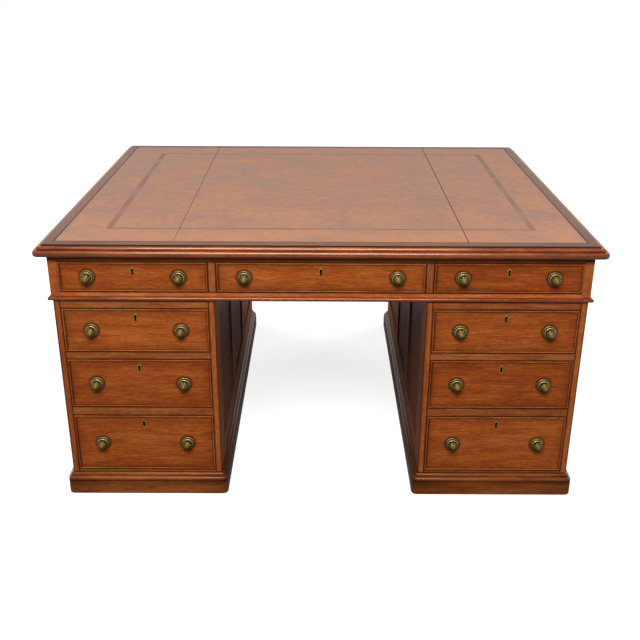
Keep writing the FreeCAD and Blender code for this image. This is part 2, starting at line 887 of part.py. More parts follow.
def build():
    os.makedirs("parts", exist_ok=True)
    export("top_border", top_border())
    export("top_board", top_board())
    export("top_leather", top_leather())
    export("frieze_end_boards", frieze_end_boards())
    export("frieze_rails_and_runners", frieze_rails_and_runners())
    export("frieze_partitions", frieze_partitions())
    export("frieze_bead_moulding", frieze_bead_moulding())

    frames, panels = side_pair()
    mortise = hinge_mortise()
    both_sides("pedestal_side_frames", [frame.cut(mortise) for frame in frames])
    both_sides("pedestal_side_panels", panels)
    both_sides("pedestal_rails_and_runners", pedestal_rails_and_runners())
    both_sides("pedestal_boards", pedestal_boards())
    both_sides("pedestal_plinth", plinth())

    height = frieze_drawer_opening
    length = frieze_drawer_length
    side_drawer = drawer(frieze_side_opening, height, length, knob_offset)
    centre_drawer = drawer(frieze_centre_opening, height, length, centre_knob_offset)
    z = frieze_opening_bottom
    for face, angle in (("front", 0), ("back", 180)):
        turn = 1 if angle == 0 else -1
        export_drawer(face + "_left_frieze_drawer", side_drawer, -turn * frieze_side_centre, z, angle)
        export_drawer(face + "_centre_frieze_drawer", centre_drawer, 0.0, z, angle)
        export_drawer(face + "_right_frieze_drawer", side_drawer, turn * frieze_side_centre, z, angle)

    levels = (
        ("upper", upper_opening_bottom, upper_drawer_opening),
        ("middle", middle_opening_bottom, middle_drawer_opening),
        ("lower", lower_opening_bottom, lower_drawer_opening),
    )
    for level, bottom, height in levels:
        kinds = drawer(pedestal_opening, height, pedestal_drawer_length, knob_offset)
        export_drawer("left_" + level + "_drawer", kinds, -pedestal_centre, bottom, 0)
        export_drawer("right_" + level + "_drawer", kinds, pedestal_centre, bottom, 0)

    frame, panels, brass = cupboard_door()
    both_sides("cupboard_door_frame", frame)
    both_sides("cupboard_door_panel", panels)
    both_sides("cupboard_door_brass", brass)
    fixed = hinge_leaves()[0]
    export("cupboard_hinge_leaves", fixed + [mirrored(leaf) for leaf in fixed])


build()
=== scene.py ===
import json
import math
import bmesh
import bpy
import numpy as np
from functools import partial
from mathutils import Matrix, Vector


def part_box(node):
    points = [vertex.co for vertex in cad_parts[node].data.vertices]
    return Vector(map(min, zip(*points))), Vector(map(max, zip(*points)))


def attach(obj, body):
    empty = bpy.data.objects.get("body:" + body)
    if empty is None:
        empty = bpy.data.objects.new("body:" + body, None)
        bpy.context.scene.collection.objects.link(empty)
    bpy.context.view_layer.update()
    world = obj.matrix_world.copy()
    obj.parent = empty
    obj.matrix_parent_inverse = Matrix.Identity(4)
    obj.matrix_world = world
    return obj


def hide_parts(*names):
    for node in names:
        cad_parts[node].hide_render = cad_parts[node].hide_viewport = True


# Victorian mahogany partners desk, dressed. Sizes in the dictionaries are millimetres, and metres
# for the floor, the lamps and the camera
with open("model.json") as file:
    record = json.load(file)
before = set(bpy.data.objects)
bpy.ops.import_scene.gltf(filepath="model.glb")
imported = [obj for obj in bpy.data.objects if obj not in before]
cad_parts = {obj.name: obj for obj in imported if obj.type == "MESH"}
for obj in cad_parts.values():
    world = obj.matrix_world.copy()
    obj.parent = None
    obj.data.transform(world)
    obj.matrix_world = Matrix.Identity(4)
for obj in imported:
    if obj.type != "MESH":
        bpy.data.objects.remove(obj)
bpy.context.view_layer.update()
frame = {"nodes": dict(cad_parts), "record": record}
scene = bpy.context.scene
bodyOf = {node: body for body, nodes in frame["record"]["behaviour"]["bodies"].items() for node in nodes}
nodeNames = sorted(bodyOf)
mm = 0.001
print("frame loaded:", len(bodyOf), "nodes")


# sRGB hex to a linear colour
def toLinear(hexColour):
    value = np.array([int(hexColour[i:i + 2], 16) / 255 for i in (1, 3, 5)])
    linear = np.where(value <= 0.04045, value / 12.92, ((value + 0.055) / 1.055) ** 2.4)
    return (*linear.tolist(), 1.0)


# adds a node with its inputs, by place or by name, each a value or another node's socket, and with
# a colour ramp's stops, which are pairs of place and sRGB hex
def addNode(tree, kind, inputs=(), stops=(), **settings):
    node = tree.nodes.new("ShaderNode" + kind)
    for key, value in settings.items():
        setattr(node, key, value)
    if stops:
        elements = node.color_ramp.elements
        elements[0].position, elements[1].position = stops[0][0], stops[-1][0]
        for position, _ in stops[1:-1]:
            elements.new(position)
        for element, (_, shade) in zip(elements, stops):
            element.color = toLinear(shade)
    for key, value in inputs.items() if isinstance(inputs, dict) else enumerate(inputs):
        if isinstance(value, bpy.types.NodeSocket):
            tree.links.new(value, node.inputs[key])
        elif value is not None:
            node.inputs[key].default_value = value
    return node.outputs[0] if node.outputs else node


def newMaterial(name, roughness, metallic=0.0, gloss=0.25, tint="#ffffff"):
    material = bpy.data.materials.new(name)
    material.use_nodes = True
    shader = material.node_tree.nodes["Principled BSDF"]
    shader.inputs["Roughness"].default_value = roughness
    shader.inputs["Metallic"].default_value = metallic
    shader.inputs["Specular IOR Level"].default_value = gloss
    shader.inputs["Specular Tint"].default_value = toLinear(tint)
    return material, shader, partial(addNode, material.node_tree)


# links finished values to the shader's sockets
def linkShader(material, shader, values):
    for socket, value in values.items():
        material.node_tree.links.new(value, shader.inputs[socket])
    return material


# Cuban mahogany, French polished and waxed for a century and a half: red-brown with an orange
# depth, flecked along the grain, arrises rubbed paler, with painted highlights on the mouldings,
# seams dark with old wax and painted shade, and painted shade at the mouldings' corners, under
# the top and in the kneehole
mahoganyLook = {
    # width and length of one mark, and the detail of its noise
    "figure": (3.4, 75, 4),      # bands of figure
    "mottle": (26, 130, 3),      # cloudy patches
    "fleck": (2.2, 18, 2),       # short flecks, drawn about three times life so that they show
    "pore": (0.9, 11, 1),        # open pores
    "noise": {"Scale": 1.0, "Roughness": 0.55, "Distortion": 0.5},
    "share": {"figure": 0.36, "mottle": 0.3, "fleck": 0.34},  # how far each sways the colour
    "toneShare": 0.055,          # and how far the board's own tone does
    "stops": (0.38, 0.5, 0.62),  # where the colour is dark, middle and light
    "open": (0.58, 0.72, 0.5),   # where a pore begins and is full, and how dark it is there
    "patch": (0.35, 0.6),        # where rubbing begins in the mottle and is full
    # wear, dirt and painted shade, full to the first distance and gone by the second
    "rubbed": (0.0, 1.1),        # pale wear, from an arris
    "seam": (2.0, 4.4),          # old wax and painted shade, from the edges of rails and stiles
    "bead": (4.4, 7.6),          # old wax and painted shade in the corner inside a cock bead, from the drawer's edge
    "shadow": (5.0, 11.0),       # a painted shadow inside the cock bead at the drawer's left end
    "edge": (5.0, 30.0),         # darker towards the drawer's edge, measured from it
    "rose": (22.5, 26.0),        # old wax and painted shade round a knob, from its middle
    "face": (0.0, 3.0),          # how deep these four reach, from a front's outer face
    "overhang": (727.0, 717.0),  # painted shade under the top's overhang, by height
    "foot": (66.5, 71.0),        # darker just above the plinth, by height
    "strength": {"rubbed": 0.4, "shadow": 0.6, "edge": 0.3, "rose": 0.55, "face": 1.0,
                 "overhang": 0.7, "foot": 0.8},
    "mouldWear": (0.25, 0.6, 0.4),  # pale wear and painted highlight on a moulding's rounds, its share in patches and all over
    "mouldWax": (-1.0, -0.1),    # the rub at which a moulding's old wax and painted shade are full, and are gone
    "corner": (0.5, 60.0),       # a moulding is painted darker towards its corners, as shade: how much, how far in
    "kneehole": (303.0, 618.0, 608.0),  # half width, half depth and height of the painted shade in the kneehole
    "kneeholeEdge": 2,           # it fades this far to either side
    "unfadedBoard": 0.1, "unfadedMould": 0.6,  # how strong that painted shade is on boards and on mouldings
    "shine": (0.3, 0.7, -0.05, 0.07),  # mottle from and to, and how far roughness strays at each
    "bumpBoard": 0.3, "bumpMould": 0.08, "bumpDepth": 0.3,  # mouldings were polished smoother
    "polish": "#ffd2b0",         # amber shellac warms what it mirrors
    # colours of old wax and painted shade, painted shade under the top, wear and painted highlight, painted
    # shade in the kneehole, and open pores
    "wax": "#240b05", "soot": "#3c1607", "worn": "#cb8e63", "unfaded": "#2b1107", "hollow": "#32130a",
}
mahoganyTones = {  # dark, middle and light of each finish
    "polishedMahoganyFace": ("#7d3717", "#984a1d", "#b0622d"),
    "polishedMahoganyBead": ("#763717", "#914a1f", "#a85e2e"),
    "polishedMahoganyFriezeRail": ("#93471f", "#b0602f", "#c97b45"),
    "polishedMahoganyRail": ("#74361a", "#8b4a25", "#a16034"),
    "polishedMahoganyStile": ("#7d3a19", "#984e23", "#ad6433"),
    "polishedMahoganyPanel": ("#662b11", "#803f19", "#9a5527"),
    "polishedMahoganyBorder": ("#56321c", "#6e4328", "#835432"),
    "polishedMahoganyMoulding": ("#5a2008", "#7a310d", "#98491c"),
    "waxedMahoganyPlinth": ("#5a290f", "#753915", "#8f5023"),
}


# arris is "bead" for a drawer front, "rubbed" for a bead, "seam" for rails and stiles, "mould" for
# mouldings, or "plain"; the last argument is how strong the old wax and painted shade are in the
# seams
def mahogany(name, arris, gloss, roughness=0.36, waxed=0.8):
    look = mahoganyLook
    strength = {**look["strength"], "seam": waxed, "bead": waxed}
    material, shader, add = newMaterial(name, roughness, gloss=gloss, tint=look["polish"])
    grain, place, half = (add("Attribute", attribute_name=key).node.outputs["Vector"]
                          for key in ("grain", "place", "half"))
    tone, rub = (add("Attribute", attribute_name=key).node.outputs["Fac"] for key in ("tone", "rub"))
    where = add("VectorMath", (add("TexCoord").node.outputs["Object"],), operation="ABSOLUTE")
    where = add("SeparateXYZ", (where,)).node.outputs

    noises = {}
    for key in ("figure", "mottle", "fleck", "pore"):
        width, length, detail = look[key]
        scale = (1 / (length * mm), 1 / (width * mm), 1 / (width * mm))
        stretched = add("VectorMath", (grain, scale), operation="MULTIPLY")
        noises[key] = add("TexNoise", {"Vector": stretched, "Detail": detail, **look["noise"]})
    share = add("Math", (tone, look["toneShare"], 0.0), operation="MULTIPLY_ADD")
    for key, weight in look["share"].items():
        share = add("Math", (noises[key], weight, share), operation="MULTIPLY_ADD")
    colour = add("ValToRGB", (share,), stops=list(zip(look["stops"], mahoganyTones[name])))
    begins, full, dark = look["open"]
    pore = add("MapRange", (noises["pore"], begins, full, 0.0, dark), interpolation_type="SMOOTHSTEP")
    layers = [(pore, look["hollow"])]

    # full to the first of the look's two distances, gone by the second
    def near(distance, key):
        full, gone = (size * mm for size in look[key])
        return add("MapRange", (distance, full, gone, strength[key], 0.0))

    # distances to the board's edges, from its place within its half sizes
    inset = add("VectorMath", (half, add("VectorMath", (place,), operation="ABSOLUTE")),
                operation="SUBTRACT")
    along, across, through = add("SeparateXYZ", (inset,)).node.outputs
    nearest = add("Math", (across, through), operation="MAXIMUM")
    patches = add("MapRange", (noises["mottle"], *look["patch"]), interpolation_type="SMOOTHSTEP")
    if arris == "rubbed":
        worn = add("Math", (near(nearest, "rubbed"), patches), operation="MULTIPLY")
        layers.append((worn, look["worn"]))
    if arris == "seam":
        # old wax and painted shade along the edges of rails and stiles
        layers.append((near(nearest, "seam"), look["wax"]))
        # painted shade under the top's overhang
        layers.append((near(where["Z"], "overhang"), look["soot"]))
        # darker just above the plinth
        layers.append((near(where["Z"], "foot"), look["wax"]))
    # a drawer front: old wax and painted shade inside the cock bead and round the knobs, darker towards its
    # edges, and a painted shadow at its left end
    if arris == "bead":
        deep = [add("SeparateXYZ", (value,)).node.outputs["Z"] for value in (half, place)]
        onFace = near(add("Math", deep), "face")
        inside = add("Math", (along, across), operation="MINIMUM")
        knob = add("Attribute", attribute_name="knob").node.outputs["Fac"]
        x, y, _ = add("SeparateXYZ", (place,)).node.outputs
        x = add("Math", (add("Math", (x,), operation="ABSOLUTE"), knob), operation="SUBTRACT")
        away = add("VectorMath", (add("CombineXYZ", (x, y)),), operation="LENGTH").node.outputs["Value"]
        leftEnd = add("Math", (add("SeparateXYZ", (half,)), add("SeparateXYZ", (place,))))
        for distance, key in ((inside, "edge"), (inside, "bead"), (leftEnd, "shadow"), (away, "rose")):
            mask = add("Math", (near(distance, key), onFace), operation="MULTIPLY")
            layers.append((mask, look["wax"]))
    if arris == "mould":
        # on a moulding the pale wear is partly a painted highlight on the upper rounds, and the old wax
        # partly painted shade in the quirks and under the rounds
        wear, patchy, even = look["mouldWear"]
        worn = add("MapRange", (rub, 0.0, 1.0, 0.0, wear))
        patches = add("Math", (patches, patchy, even), operation="MULTIPLY_ADD")
        layers.append((add("Math", (worn, patches), operation="MULTIPLY"), look["worn"]))
        layers.append((add("MapRange", (rub, *look["mouldWax"], waxed, 0.0)), look["wax"]))
    # painted shade inside the kneehole, stronger on mouldings than on boards
    kind = "Mould" if arris == "mould" else "Board"
    unfaded, fade = look["unfaded" + kind], look["kneeholeEdge"]
    for axis, reach in zip("XYZ", look["kneehole"]):
        within = add("MapRange", (where[axis], (reach - fade) * mm, (reach + fade) * mm, 1.0, 0.0))
        unfaded = add("Math", (within, unfaded), operation="MULTIPLY")
    layers.append((unfaded, look["unfaded"]))
    for mask, shade in layers:
        colour = add("Mix", {0: mask, 6: colour, 7: toLinear(shade)}, data_type="RGBA").node.outputs[2]

    start, end, *strays = look["shine"]
    shine = add("MapRange", (noises["mottle"], start, end, *(roughness + stray for stray in strays)))
    height = add("Math", (pore, -1.0, noises["figure"]), operation="MULTIPLY_ADD")
    bump = add("Bump", {"Height": height, "Strength": look["bump" + kind],
                        "Distance": look["bumpDepth"] * mm})
    return linkShader(material, shader, {"Base Color": colour, "Roughness": shine, "Normal": bump})


drawerFace = mahogany("polishedMahoganyFace", "bead", gloss=0.08, waxed=0.5)
drawerBead = mahogany("polishedMahoganyBead", "rubbed", gloss=0.06)
friezeRail = mahogany("polishedMahoganyFriezeRail", "seam", gloss=0.1, waxed=0.9)
railWood = mahogany("polishedMahoganyRail", "seam", gloss=0.1, waxed=0.9)
stileWood = mahogany("polishedMahoganyStile", "seam", gloss=0.08)
panelWood = mahogany("polishedMahoganyPanel", "plain", gloss=0.06)
borderWood = mahogany("polishedMahoganyBorder", "mould", gloss=0.2, waxed=0.95)
mouldWood = mahogany("polishedMahoganyMoulding", "mould", gloss=0.6, roughness=0.17, waxed=0.95)
plinthWood = mahogany("waxedMahoganyPlinth", "mould", gloss=0.3, roughness=0.22)
print("mahogany finishes made")


# quartered ash or oak, planed and never polished: pale brown, dry, greyed by handling
liningLook = {
    "roughness": 0.72, "stops": ((0.3, "#7a552f"), (0.7, "#b08a58")),
    "band": (5.88235, 200),      # width and length of one band of grain
    "noise": {"Scale": 1.0, "Detail": 6.0, "Roughness": 0.65},
    "bump": 0.3, "bumpDepth": 0.4,
}


def liningTimber():
    look = liningLook
    material, shader, add = newMaterial("planedLiningTimber", look["roughness"])
    grain = add("Attribute", attribute_name="grain").node.outputs["Vector"]
    width, length = (size * mm for size in look["band"])
    stretched = add("VectorMath", (grain, (1 / length, 1 / width, 1 / width)), operation="MULTIPLY")
    bands = add("TexNoise", {"Vector": stretched, **look["noise"]})
    colour = add("ValToRGB", (bands,), stops=look["stops"])
    bump = add("Bump", {"Height": bands, "Strength": look["bump"], "Distance": look["bumpDepth"] * mm})
    return linkShader(material, shader, {"Base Color": colour, "Normal": bump})


lining = liningTimber()

# corners in one cell of this size are one, and the shift keeps round sizes off a cell's border
welding = {"cell": 0.002, "shift": 0.31}


# a node's triangles come solid by solid, so a solid ends where every edge has met its opposite.
# Along each edge's own triangles, the running sum of its directions is zero when it is closed
def splitSolids(mesh):
    points = np.empty(len(mesh.vertices) * 3, np.float32)
    mesh.vertices.foreach_get("co", points)
    points = points.reshape(-1, 3).astype(float)
    mesh.calc_loop_triangles()
    triangles = np.empty(len(mesh.loop_triangles) * 3, np.int32)
    mesh.loop_triangles.foreach_get("vertices", triangles)
    cells = np.floor(points / (welding["cell"] * mm) + welding["shift"]).astype(np.int64)
    _, first, spot = np.unique(cells, axis=0, return_index=True, return_inverse=True)
    points = points[first]
    triangles = spot.reshape(-1)[triangles].reshape(-1, 3)
    start = triangles.reshape(-1)
    end = np.roll(triangles, -1, axis=1).reshape(-1)
    when = np.repeat(np.arange(len(triangles)), 3)
    edge = np.minimum(start, end).astype(np.int64) * len(points) + np.maximum(start, end)
    order = np.lexsort((when, edge))
    total = np.cumsum(np.where(start < end, 1, -1)[order])
    opens = np.r_[True, edge[order][1:] != edge[order][:-1]]
    base = np.r_[0, total[:-1]][opens][np.cumsum(opens) - 1]
    pending = total != base
    before = np.r_[False, pending[:-1]] & ~opens
    change = np.bincount(when[order], pending.astype(int) - before.astype(int), len(triangles))
    closed = np.cumsum(np.rint(change)) == 0
    label = np.r_[0, np.cumsum(closed)[:-1]]
    return [(points, triangles[label == k]) for k in range(label[-1] + 1)]


# how much each kind of arris is eased. Faces that meet flatter than one angle, in radians, are
# joined up, and edges sharper than the other are eased
easing = {"board": 0.6, "front": 0.5, "panel": 0.3, "topBoard": 0.2, "brass": 0.3,
          "flat": 0.02, "sharp": 0.5, "segments": 2, "profile": 0.6}


# one board: flat triangles joined up, then every outer arris taken off by a small round
def easedBoard(points, triangles, ease):
    used, local = np.unique(triangles, return_inverse=True)
    board = bmesh.new()
    corners = [board.verts.new(p) for p in points[used].tolist()]
    for face in local.reshape(-1, 3).tolist():
        board.faces.new([corners[i] for i in face])
    bmesh.ops.dissolve_limit(board, angle_limit=easing["flat"], verts=board.verts, edges=board.edges)
    arrises = [e for e in board.edges
               if e.is_manifold and e.calc_face_angle_signed(0.0) > easing["sharp"]]
    bmesh.ops.bevel(board, geom=arrises, offset=ease * mm, offset_type="OFFSET",
                    segments=easing["segments"], profile=easing["profile"], affect="EDGES",
                    clamp_overlap=True)
    board.verts.index_update()
    found = [v.co[:] for v in board.verts], [[v.index for v in f.verts] for f in board.faces]
    board.free()
    return np.array(found[0]), found[1]


# joins parts of (points, faces, attributes, material number) into one piece on the nodes' body.
# Where smooth is given, edges that turn more than it, in degrees, stay crisp
def makePiece(name, parts, materials, replaced, smooth=None):
    points = np.concatenate([part[0] for part in parts])
    starts = np.cumsum([0] + [len(part[0]) for part in parts])
    faces = [[i + s for i in face] for part, s in zip(parts, starts) for face in part[1]]
    mesh = bpy.data.meshes.new(name)
    mesh.from_pydata(points.tolist(), [], faces)
    for key in parts[0][2]:
        values = np.concatenate([part[2][key] for part in parts]).astype(np.float32)
        kind, field = ("FLOAT_VECTOR", "vector") if values.ndim == 2 else ("FLOAT", "value")
        mesh.attributes.new(key, kind, "POINT").data.foreach_set(field, values.ravel())
    for material in materials:
        mesh.materials.append(material)
    numbers = np.concatenate([np.broadcast_to(part[3], len(part[1])) for part in parts])
    mesh.polygons.foreach_set("material_index", numbers.astype(np.int32))
    mesh.update()
    if smooth is not None:
        mesh.polygons.foreach_set("use_smooth", np.ones(len(mesh.polygons), bool))
        mesh.set_sharp_from_angle(angle=math.radians(smooth))
    piece = bpy.data.objects.new(name, mesh)
    scene.collection.objects.link(piece)
    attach(piece, bodyOf[replaced[0]])
    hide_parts(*replaced)
    return piece


logReach = 9  # metres of the noise that boards are cut from


# grain runs along a board's longest side, and each board is cut from another place in the log
def boardAttributes(points, seed, tone, knob):
    low, high = points.min(0), points.max(0)
    order = np.argsort(low - high)
    half = ((high - low) / 2)[order]
    place = (points - (low + high) / 2)[:, order]
    if low[1] + high[1] > 0:
        place[:, 2] *= -1  # so a front's outer face is the low one on either side of the desk
    chance = np.random.default_rng(seed)
    drift = chance.uniform(0, logReach, 3)
    count = len(points)
    shade = chance.uniform(-1, 1)
    return {"grain": place + drift, "place": place, "half": np.tile(half, (count, 1)),
            "tone": np.full(count, shade if tone is None else tone), "knob": np.full(count, knob)}


# how light each drawer front came from the log, from -1 dark to 1 light, and how far its knobs
# stand from its middle
drawerFronts = {
    "tone": {"front_left_frieze": 0.1, "front_centre_frieze": 0.5, "front_right_frieze": -0.7,
             "left_upper": 0.6, "right_upper": 0.2, "left_middle": -0.3, "right_middle": -0.4,
             "left_lower": 0.1, "right_lower": 0.3},
    "knob": 123, "centreKnob": 206,
}


# a copy of a CAD node's boards, eased; choose(sizes in mm, middle) gives the material number
def dressBoards(node, materials, choose=lambda size, middle: 0, ease=easing["board"]):
    parts = []
    tone = drawerFronts["tone"].get(node.replace("_drawer_front", ""))
    knob = drawerFronts["centreKnob" if "centre" in node else "knob"] * mm
    for number, (points, triangles) in enumerate(splitSolids(frame["nodes"][node].data)):
        eased, faces = easedBoard(points, triangles, ease)
        attributes = boardAttributes(eased, sum(map(ord, node)) * 31 + number, tone, knob)
        size = sorted(((eased.max(0) - eased.min(0)) / mm).tolist(), reverse=True)
        middle = (eased.max(0) + eased.min(0)) / 2 / mm
        parts.append((eased, faces, attributes, choose(size, middle)))
    return makePiece(node + "_dressed", parts, materials, [node])


# how the boards of one node are told apart: a cock bead is thinner than this, an upright shorter,
# and a rail that shows is longer and lies further out
boardKinds = {"bead": 15, "upright": 90, "rail": 380, "face": 590}
for node in nodeNames:
    if node.endswith("_drawer_front"):
        dressBoards(node, [drawerFace, drawerBead],
                    lambda size, middle: 0 if size[2] > boardKinds["bead"] else 1, easing["front"])
    elif node.endswith("_case") or node.endswith("_boards") and "pedestal" in node:
        dressBoards(node, [lining])
    elif node.endswith("rails_and_runners"):
        dressBoards(node, [friezeRail if "frieze" in node else railWood, lining],
                    lambda size, middle: 0 if (size[0] > boardKinds["rail"]
                                               and abs(middle[1]) > boardKinds["face"]) else 1)
    elif node == "frieze_partitions":
        dressBoards(node, [railWood, lining],
                    lambda size, middle: 0 if size[0] < boardKinds["upright"] else 1)
    elif node.endswith("side_frames") or node.endswith("door_frame") or node == "frieze_end_boards":
        dressBoards(node, [stileWood])
    elif node.endswith("side_panels") or node.endswith("door_panel"):
        dressBoards(node, [panelWood], ease=easing["panel"])
    elif node == "top_board":
        dressBoards(node, [lining], ease=easing["topBoard"])
print("boards dressed")

# points in an arc, stations along a length, how many of them turn a corner and over what length,
# and the angle in degrees that stays crisp
mouldingGrid = {"arc": 11, "stations": 40, "bend": 8, "bendLength": 2, "crisp": 40}


# points on the arc through start, middle and end, by the circle round the three of them
def arc(start, middle, end, count):
    a, b, c = (complex(*p) for p in (start, middle, end))
    w = (c - a) / (b - a)
    centre = (b - a) * (w - abs(w) ** 2) / (2j * w.imag) + a
    half, last = (np.angle((p - centre) / (a - centre)) for p in (b, c))
    if not min(0, last) <= half <= max(0, last):
        last -= math.copysign(2 * math.pi, last)
    found = centre + (a - centre) * np.exp(1j * np.linspace(0, last, count))
    return np.column_stack([found.real, found.imag]).tolist()


# a profile from steps of (point, rub), or of (middle, end, rub) for an arc. Rub is how the wood
# has worn there, from -1 full of old wax to 1 rubbed pale; on the mouldings its dark end also
# paints shade and its pale end also paints highlights
def profileOf(steps):
    points, rubs = [], []
    for step in steps:
        curve = [step[0]] if len(step) == 2 else arc(points[-1], *step[:2], mouldingGrid["arc"])[1:]
        points += curve
        rubs += [step[-1]] * len(curve)
    return np.array(points) * mm, np.array(rubs)


# a moulding carried round a rectangle in four lengths. At a station, a profile point lies
# share * half length along, and its distance out from the side; where the corners are turned,
# what stands out swings round each corner by 45 degrees over the last of the length
def mouldingLengths(profile, rub, run, turned, seed, centreX=0.0, flatPoints=0):
    lengths = []
    stations, bend = mouldingGrid["stations"], mouldingGrid["bend"]
    dark, reach = mahoganyLook["corner"]
    halfX, halfY = run["halfX"] * mm, run["halfY"] * mm
    for side, (along, away) in enumerate(((halfX, halfY), (halfY, halfX)) * 2):
        turn = np.zeros(stations)
        share = np.linspace(-1, 1, stations)
        if turned:
            turn[-bend:] = np.linspace(0, math.pi / 4, bend)
            share[-bend:] = np.linspace(1 - mouldingGrid["bendLength"] * mm / along, 1, bend)
            turn[:bend], share[:bend] = -turn[:-bend - 1:-1], -share[:-bend - 1:-1]
        proud = np.maximum(profile[:, 0], 0) * turned
        flush = profile[:, 0] - proud
        x = share[:, None] * (along + flush) + np.sin(turn)[:, None] * proud
        y = -away - flush - np.cos(turn)[:, None] * proud
        z = np.broadcast_to(profile[:, 1], x.shape)
        flat = np.stack([x, y, z], -1).reshape(-1, 3)
        cos, sin = math.cos(side * math.pi / 2), math.sin(side * math.pi / 2)
        placed = flat @ np.array([[cos, sin, 0], [-sin, cos, 0], [0, 0, 1]])
        placed[:, 0] += centreX
        index = np.arange(len(flat)).reshape(x.shape)
        after = np.roll(index, -1, axis=1)
        quads = np.stack([index[:-1], index[1:], after[1:], after[:-1]], -1)
        faces = quads.reshape(-1, 4).tolist() + [index[0].tolist(), index[-1][::-1].tolist()]
        chance = np.random.default_rng(seed + side)
        same = np.ones(len(flat))
        # painted shade: the rub falls towards each corner
        fromCorner = (1 - np.abs(share)) * along / (reach * mm)
        worn = rub - dark * np.clip(1 - fromCorner, 0, 1)[:, None]
        onFlat = np.arange(len(profile)) >= len(profile) - flatPoints
        number = np.r_[np.tile(onFlat.astype(int), stations - 1), 0, 0]
        lengths.append((placed, faces, {
            "grain": flat + chance.uniform(0, logReach, 3), "tone": same * chance.uniform(-1, 1),
            "rub": worn.ravel()}, number))
    return lengths


# border of the top and its moulded edge, turned round the corners: a quirk under the flat, then
# a thumbnail and a nose whose shoulders are long and slow, so that they catch the light
topEdge = {
    "halfX": 750.0, "halfY": 629.0, "border": 34.0, "under": 738.0, "top": 769.0, "seed": 5,
    "out": 16.0, "nose": 17.5, "noseFoot": 7.0, "tread": 1.5, "thumb": 4.5, "quirk": 4.4,
    "fillet": 1.0,
    "flatEnd": -7.0, "ease": 0.6,  # where the flat ends at the quirk, and the round of its arris
    "waxed": 3.0, "joint": 3.0,    # width of the old wax and painted shade at the quirk, and of the old wax beside the leather
    "flatPoints": 5,               # the last points of the section lie in the border's own wood
    "shoulder": ((0, 22, 2.5), (22, 42, 12.0), (42, 90, 2.5)),  # tilts and radius of each arc
}
low, top, out, thumb = (topEdge[key] for key in ("under", "top", "out", "thumb"))
flatEnd, ease, fillet, border = (topEdge[key] for key in ("flatEnd", "ease", "fillet", "border"))
head, noseTop, footRound = top - topEdge["quirk"], low + topEdge["nose"], topEdge["noseFoot"]
footMiddle = footRound * math.sqrt(0.5)


# a shoulder's arcs from its face at x up to its top at z: from tilt a to tilt b an arc of radius r
# goes in by r (cos a - cos b) and up by r (sin b - sin a)
def shoulder(x, z, rubs):
    def along(a, b, r):
        a, b = math.radians(a), math.radians(b)
        return np.array([r * (math.cos(b) - math.cos(a)), r * (math.sin(b) - math.sin(a))])
    here = np.array([x, z - sum(along(*arcs)[1] for arcs in topEdge["shoulder"])])
    steps = [(tuple(here), rubs[0])]
    for (a, b, r), rub in zip(topEdge["shoulder"], rubs[1:]):
        middle, end = here + along(a, (a + b) / 2, r), here + along(a, b, r)
        steps.append((tuple(middle), tuple(end), rub))
        here = end
    return steps


# its rubs paint shade in the quirks and under the nose and highlights up the shoulders, besides wear and
# old wax
profile, rub = profileOf([
    ((-border, low), 0), ((0, low), -0.5), ((out - footRound, low), -0.35),
    ((out - footRound + footMiddle, low + footRound - footMiddle), (out, low + footRound), -0.25),
    *shoulder(out, noseTop, (0.15, 0.2, 0.6, 0.8)),
    ((thumb + topEdge["tread"], noseTop), 0.4), ((thumb, noseTop), -0.7),
    ((thumb, noseTop + fillet), -0.1),
    *shoulder(thumb, head, (0, 0.2, 0.7, 1.0)),
    ((flatEnd + fillet, head), 0.7), ((flatEnd, head), -1), ((flatEnd, top - ease), -1),
    ((flatEnd - ease / 3, top - ease / 3), (flatEnd - ease, top), -0.2),
    ((flatEnd - topEdge["waxed"], top), 0), ((-border + topEdge["joint"], top), 0),
    ((-border, top), -0.9)])
lengths = mouldingLengths(profile, rub, topEdge, True, topEdge["seed"],
                          flatPoints=topEdge["flatPoints"])
makePiece("top_edge_moulding", lengths, [mouldWood, borderWood], ["top_border"],
          mouldingGrid["crisp"])

# half-round bead at the foot of the frieze, mitred
friezeBead = {"halfX": 731.0, "halfY": 625.0, "foot": 611.0, "radius": 6.0, "out": 8.0, "seed": 25}
foot, radius, out = (friezeBead[key] for key in ("foot", "radius", "out"))
flat = out - radius
profile, rub = profileOf([
    ((0, foot), -0.9), ((flat, foot), -0.6), ((out, foot + radius), (flat, foot + 2 * radius), 0),
    ((0, foot + 2 * radius), -1)])
lengths = mouldingLengths(profile, rub, friezeBead, False, friezeBead["seed"])
makePiece("frieze_bead_run", lengths, [mouldWood], ["frieze_bead_moulding"],
          mouldingGrid["crisp"])

# plinths: eased foot, fascia, quirk, torus and a small upper round, turned round the corners
plinthRun = {
    "halfX": 219.5, "halfY": 625.0, "centreX": 507.5, "seed": 45,
    # its rubs paint shade in the quirks and along the top of the fascia under the torus, besides wear and
    # old wax
    "section": [
        ((0, 0), 0), ((13, 0), -0.4), ((15.1, 0.9), (16, 3), 0.35), ((16, 12), 0.2), ((16, 26), 0),
        ((16, 42.5), -0.4), ((13.5, 42.5), -1), ((13.5, 43.5), -0.8), ((14.9, 46), (15.2, 50), -0.3),
        ((12.9, 54.9), (8.5, 57), 0), ((6.5, 57), -1), ((6.6, 61.4), (2.5, 66), -0.1),
        ((0, 66), -0.8)],
}
profile, rub = profileOf(plinthRun["section"])
for side, sign in (("left", -1), ("right", 1)):
    lengths = mouldingLengths(profile, rub, plinthRun, True, plinthRun["seed"] + sign,
                              sign * plinthRun["centreX"] * mm)
    makePiece(side + "_plinth_run", lengths, [plinthWood], [side + "_pedestal_plinth"],
              mouldingGrid["crisp"])
print("mouldings run")


